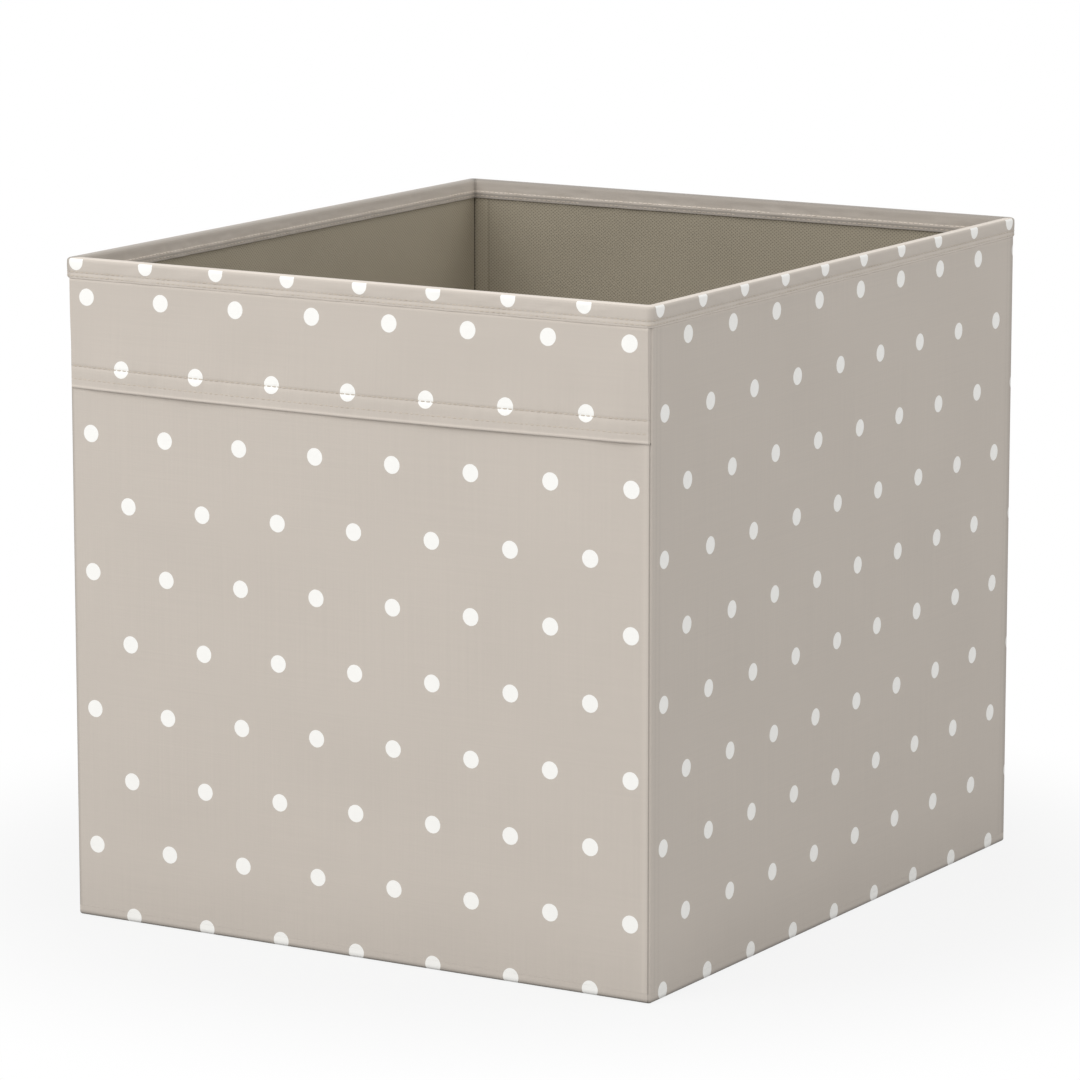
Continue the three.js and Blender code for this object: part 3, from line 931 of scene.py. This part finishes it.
def corner(sx, sy):
    """The cloth of one upright corner, its stitches, and the flap's end at the front."""
    side, other = ("left" if sx < 0 else "right"), ("front" if sy < 0 else "rear")
    name = f"{other}_{side}"
    near = (sx, sy) == (1, -1)  # the corner towards the camera
    share = SHARE[:, None]

    profile, seen = cover_profile()
    z = profile[:, 1]
    seam_at = 0.72 if near else (0.1 if sy < 0 else 0.75)
    groove = 0.34 * seen * smooth((321.0 - z) / 3)
    points = corner_points(sx, sy, profile, profile, rounds_of(profile, 0.6), groove, seam_at)
    down = cover_print.down(side, z), cover_print.down(other, z)
    # painted shade in the seam's groove, and on the ridges of the seam allowance beside it on the
    # side wall
    seam = bump(STEP, seam_at, 0.11) * ON_ARC
    ridge_shade = bumps(TO_ARC, (0.16, 2.2, 0.5), (0.12, 5.6, 0.7)) * ON_SIDE
    # painted highlight on the near corner's front past its round, and painted shade on the other
    # corners' rounds and, at the rear, on the side just before them
    round_shade = bump(STEP, 0.4, 0.55) * ON_ARC * (not near)
    if sy > 0:
        round_shade = round_shade + 0.85 * np.exp(-TO_ARC / 1.5) * ON_SIDE
    near_highlight = bump(FROM_ARC, 1.6, 1.3) * ON_WALL * near
    cover_sheet = cloth_piece(
        f"corner_{name}_cover", "print", points, print_cloth,
        corner_phase(points, side, other, cover_print, *down),
        shade=(0.8 * seam + 0.8 * round_shade + ridge_shade)[:, None] + cover_shade(z),
        wear=near_highlight[:, None])

    profile, _ = lining_profile()
    z = profile[:, 1]
    points = corner_points(sx, sy, profile, profile, rounds_of(profile, 0.9), -1.3)
    across = np.where(share <= 0.5, points[..., 1], points[..., 0])
    # painted shade in the inner corner
    seam = bump(STEP, 0.5, 0.16) * ON_ARC
    gone = STEP * 9.1 * ON_WALL  # from the round
    strip = 0.35 * bump(gone, 8.0, 0.4)
    strip = strip - 0.22 * smooth((gone - 0.5) / 0.5) * smooth((7.8 - gone) / 0.6)
    # the two walls' painted shade, blended round the corner
    tone = between(LINING_PAINTED_SHADE[side], LINING_PAINTED_SHADE[other], SHARE)
    lining_sheet = cloth_piece(
        f"corner_{name}_lining", "lining", points, lining_cloth,
        spread(across / DOT_ACROSS, z / DOT_DOWN),
        shade=(seam + strip + tone)[:, None] + 0.3 * bump(z, UNDER_RIM, 1.2))

    profile, side_down, seen = rim_profile(SIDE_RIM_PROUD)
    wall_profile, wall_down, _ = rim_profile(proud_of(other))
    moved = [p - spread(rim_push(p, seen), 0.0) for p in (profile, wall_profile)]
    reach = [-SIDE_RIM_PROUD, WALL + SIDE_RIM_PROUD]
    rounds = np.interp(profile[:, 0], reach, [RIM_CORNER_ROUND, 1.0])
    points = corner_points(sx, sy, *moved, rounds)
    shade = between(rim_shade(profile, seen, side), rim_shade(profile, seen, other), share)
    rim_sheet = cloth_piece(
        f"corner_{name}_rim", "binding", points, print_cloth,
        corner_phase(points, side, other, rim_print, side_down, wall_down),
        shade=shade + 0.7 * round_shade[:, None] * seen,
        wear=between(rim_wear(profile, side), rim_wear(profile, other), share))

    lines = [corner_line(points, profile, seen, sx, sy, z, outside) for z, outside, _ in RIM_ROWS]
    seams = rim_seams(f"stitches_corner_{name}", lines)
    made = [cover_sheet, lining_sheet, rim_sheet, *seams]
    declare(cover_sheet)
    declare(lining_sheet)
    declare(rim_sheet)
    if sy < 0:
        beyond = FLAP_END + np.array([-0.2, 0, 0.2, 0.4, 0.6, 0.75])
        along = np.concatenate([np.linspace(SIDE - EDGE, FLAP_END - 0.7, 10), beyond])
        flap_end = flap_piece(f"pull_flap_end_{side}", along if sx > 0 else -along[::-1])
        hem = hem_seam(f"_{side}", *sorted((sx * (SIDE - EDGE), sx * (FLAP_END - 0.6))))
        declare(flap_end)
        made += [flap_end, hem]

    for piece in made:
        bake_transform(piece)


for sx in (-1, 1):
    for sy in (-1, 1):
        corner(sx, sy)


# ---- Base sleeve, hinge tape and bottom panel ----


def base_sleeve():
    """A flat tube of cloth round the base board, open at the front and the rear."""
    (x0, y0, z0), (x1, y1, z1) = BASE
    middle, half = (z0 + z1) / 2, (z1 - z0) / 2
    r = half - 0.2
    xs = np.linspace(x0 + r + 1, x1 - r - 1, 46)
    turn = np.linspace(0, math.pi, 9)
    x, z = np.concatenate([
        spread(xs[::-1], z1),
        spread(x0 + r - r * np.sin(turn), middle + half * np.cos(turn)),
        spread(xs, z0),
        spread(x1 - r + r * np.sin(turn), middle - half * np.cos(turn)),
    ]).T
    ys = np.linspace(y0 + 9, y1 - 9, 56)
    y = np.concatenate([[y0, y0 + 0.8, y0 + 3], ys, [y1 - 3, y1 - 0.8, y1]])[:, None]
    from_mouth = np.minimum(y - y0, y1 - y)
    lift = (0.03 + 0.025 * base_waves(x, y)) * smooth(from_mouth / 20)
    lift = lift * smooth((x - x0) / 20) * smooth((x1 - x) / 20) * (np.abs(z - z1) < 1e-6)
    # thinner at the far rear corner, so that the raised base clears the folded corner
    thin = 0.5 * smooth((x - 148) / 6) * smooth((y - 170) / 7) * (z > middle + 0.01)
    outer = spread(x, y, z + lift - thin)
    inner = spread(np.clip(x, x0 + CLOTH, x1 - CLOTH), y, np.clip(z, z0 + CLOTH, z1 - CLOTH))
    points = np.concatenate([outer, inner[::-1]])
    shade = np.concatenate([0.4 * bump(from_mouth, 6.0, 0.8), np.full(y.shape, 0.3)])
    return cloth_piece(
        "base_cloth", "base_cloth", points, base_cloth,
        points[..., :2] / (DOT_ACROSS, DOT_DOWN), ring=True, shade=shade)


def base_stitches():
    """A row of stitches along each open mouth of the base's sleeve."""
    (x0, y0, _), (x1, y1, z1) = BASE
    x = np.linspace(x0 + 8, x1 - 8, int((x1 - x0 - 16) / STITCH))
    lines = [
        straight_line(spread(x, y, z1 - 0.18), (1.0, 0.0, 0.0), (0.0, 0.0, 1.0))
        for y in (y0 + 6.0, y1 - 6.0)]
    return stitch_mesh("stitches_base", lines, dark_thread, thick=0.17)


sleeve, mouths = base_sleeve(), base_stitches()
for piece in (sleeve, mouths):
    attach(piece, "base")
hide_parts("base_sleeve")
declare(sleeve)


def hinge_tape():
    """From the left lining down and on to the base's top, in one strip that bends."""
    line = np.array([
        (0, 26.9), (0, 20.0), (0, 14.0), (0, 9.0), (0, 6.6), (0.03, 5.7), (0.15, 5.2),
        (0.4, 4.85), (0.9, 4.62), (1.6, 4.52), (2.4, 4.50), (4.5, 4.50), (7.5, 4.49), (10.5, 4.48),
    ]) + (-SIDE + WALL + 0.2, 0.0)
    tangent = np.gradient(line, axis=0)
    normal = spread(-tangent[:, 1], tangent[:, 0])
    normal /= np.linalg.norm(normal, axis=1)[:, None]
    travel = travelled(line)
    thick = np.interp(travel, [20.5, 23.5], [0.45, 0.19])[:, None]
    profile = np.concatenate([line + normal * thick, line[::-1]])
    along = np.concatenate([travel, travel[::-1]])
    y = np.linspace(*TAPE_ENDS, 60)[:, None]
    return cloth_piece(
        "hinge_tape", "lining", spread(profile[:, 0], y, profile[:, 1]), base_cloth,
        spread(y / DOT_ACROSS, along / DOT_DOWN), shade=0.5 * bump(along, 3.0, 0.5))


tape = hinge_tape()
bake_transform(tape)
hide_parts("base_hinge_tape")
declare(tape)


def bottom_cloth():
    """The bottom panel with its seam allowance folded up round the edge."""
    fold = 1.3  # radius of the lower edge
    # the rounded lower edge, facing the floor, gets painted shade, and so do the ring's top and
    # inner face in the gap by the base
    rows = [(fold + 0.06, 0.0, 0.3), (fold, 0.0, 1.6)]  # inset, height and shade
    for i, dark in enumerate((1.6, 1.55, 1.5, 1.35, 1.1, 0.75), 1):
        a = math.pi / 2 * i / 6
        rows.append((fold - fold * math.sin(a), fold - fold * math.cos(a), dark))
    rows += [(0.0, 2.4, 0.16), (0.0, 3.6, 0.12), (0.0, RING_TOP, 0.12)]
    outside = len(rows)
    rows += [
        (0.12, RING_TOP, 0.8), (RING_WIDTH, RING_TOP, 0.8), (RING_WIDTH, BOTTOM_SHEET + 0.3, 0.8),
        (RING_WIDTH + 0.4, BOTTOM_SHEET, 0.8), (RING_WIDTH + 0.46, BOTTOM_SHEET, 0.0),
    ]
    inset, z, shade = np.array(rows).T[..., None]
    ex, fy, ry = SIDE - inset, FRONT - inset, REAR - inset
    r = np.maximum(CORNER_ROUND - inset, 0.4)
    # anticlockwise: each wall, its steps, its first and last place, and the corner after it
    walls = (
        ("right", 42, (ex, -fy + r), (ex, ry - r), (ex - r, ry - r)),
        ("rear", 36, (ex - r, ry), (-ex + r, ry), (-ex + r, ry - r)),
        ("left", 42, (-ex, ry - r), (-ex, -fy + r), (-ex + r, -fy + r)),
        ("front", 36, (-ex + r, -fy), (ex - r, -fy), (ex - r, -fy + r)),
    )
    arc_steps = 8
    turn = np.arange(1, arc_steps) / arc_steps
    points, straight, phase = [], [], []
    for quarter, (wall, count, first, last, (cx, cy)) in enumerate(walls):
        t = np.linspace(0, 1, count)
        x, y = (a + (b - a) * t for a, b in zip(first, last))
        at = y if wall in ("left", "right") else x
        straight.append(spread(cover_print.across(wall, at), cover_print.down(wall, z)))
        angle = (quarter + turn) * math.pi / 2
        points += [spread(x, y, z), spread(cx + r * np.cos(angle), cy + r * np.sin(angle), z)]
    for before, after in zip(straight, straight[1:] + straight[:1]):
        # round the corner in even steps between the two walls, whole turns left out
        a, b = before[:, -1:], after[:, :1].copy()
        b[..., 0] -= np.round(b[..., 0] - a[..., 0])
        phase += [before, a + (b - a) * turn[:, None]]
    points, phase = np.concatenate(points, 1), np.concatenate(phase, 1)
    # the flat faces take the print from above, and the upper one shows the cloth's plain back
    for k in (0, -1):
        phase[k] = points[k, :, :2] / (DOT_ACROSS, DOT_DOWN)
    seam = np.arange(points.shape[1]) == points.shape[1] - arc_steps + 2  # painted shade continuing the seam's groove, on the near corner
    plain = np.arange(len(rows)) >= outside
    return cloth_piece(
        "bottom_cloth", "print", points, print_cloth, phase,
        shade=shade + 0.7 * seam, wear=-1.0 * plain[:, None])


bottom = bottom_cloth()
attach(bottom, "left_wall")
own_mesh(bottom)
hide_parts("bottom_panel")
declare(bottom)


# ---- Camera, lamps, floor ----

scene = bpy.context.scene
camera_data = bpy.data.cameras.new("camera")
camera = bpy.data.objects.new("camera", camera_data)
scene.collection.objects.link(camera)
camera.location = (1.390113, -2.329729, 0.68586)
camera.rotation_euler = (math.radians(90 - 10.656), 0.0, math.radians(30.96))
camera_data.sensor_width = 36.0
camera_data.lens = 181.7
camera_data.clip_start = 0.05
camera_data.clip_end = 60.0
scene.camera = camera


def area_lamp(name, place, size, power):
    """A square lamp that shines at the box."""
    data = bpy.data.lights.new(name, "AREA")
    data.shape = "SQUARE"
    data.size = size
    data.energy = power
    lamp = bpy.data.objects.new(name, data)
    scene.collection.objects.link(lamp)
    lamp.location = place
    towards = Vector((0, 0, 0.2)) - Vector(place)
    lamp.rotation_euler = towards.to_track_quat("-Z", "Y").to_euler()


area_lamp("key", (-0.55, -1.95, 1.7), 2.0, 35)
area_lamp("fill", (2.0, 0.5, 1.35), 1.4, 9.8)


def grey(level, **more):
    """A shader's inputs with one grey."""
    return {"Color": (level, level, level, 1.0), **more}


world = bpy.data.worlds.new("studio")
scene.world = world
world.use_nodes = True
sky = Nodes(world.node_tree)
rays = sky.add("LightPath").outputs
white = sky.math("MAXIMUM", rays["Is Camera Ray"], rays["Is Glossy Ray"])
white = sky.math("MAXIMUM", white, rays["Is Transmission Ray"])
lit = sky.add("Background", grey(1.0, Strength=0.64))
sky.show_to(white, lit, sky.add("Background", grey(1.0, Strength=1.0)), "OutputWorld")

floor_mesh = bpy.data.meshes.new("floor")
floor_mesh.from_pydata([(-9, -9, 0), (9, -9, 0), (9, 9, 0), (-9, 9, 0)], [], [(0, 1, 2, 3)])
floor = bpy.data.objects.new("floor", floor_mesh)
scene.collection.objects.link(floor)
floor.location.z = -0.0002
floor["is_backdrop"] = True
ground = Surface("floor")
rays = ground.add("LightPath").outputs
away = ground.add("VectorMath", {0: ground.object_place()}, operation="LENGTH")
far = ground.remap(away.outputs["Value"], 0.22, 0.42, 0.86, 1.0, "SMOOTHSTEP")
share = ground.times(ground.math("MAXIMUM", rays["Is Camera Ray"], rays["Is Glossy Ray"]), far)
lit = ground.add("BsdfDiffuse", grey(0.5))
ground.show_to(share, lit, ground.add("Emission", grey(1.0, Strength=1.0)), "OutputMaterial")
floor_mesh.materials.append(ground.material)

scene.view_settings.view_transform = "Standard"

low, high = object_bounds()
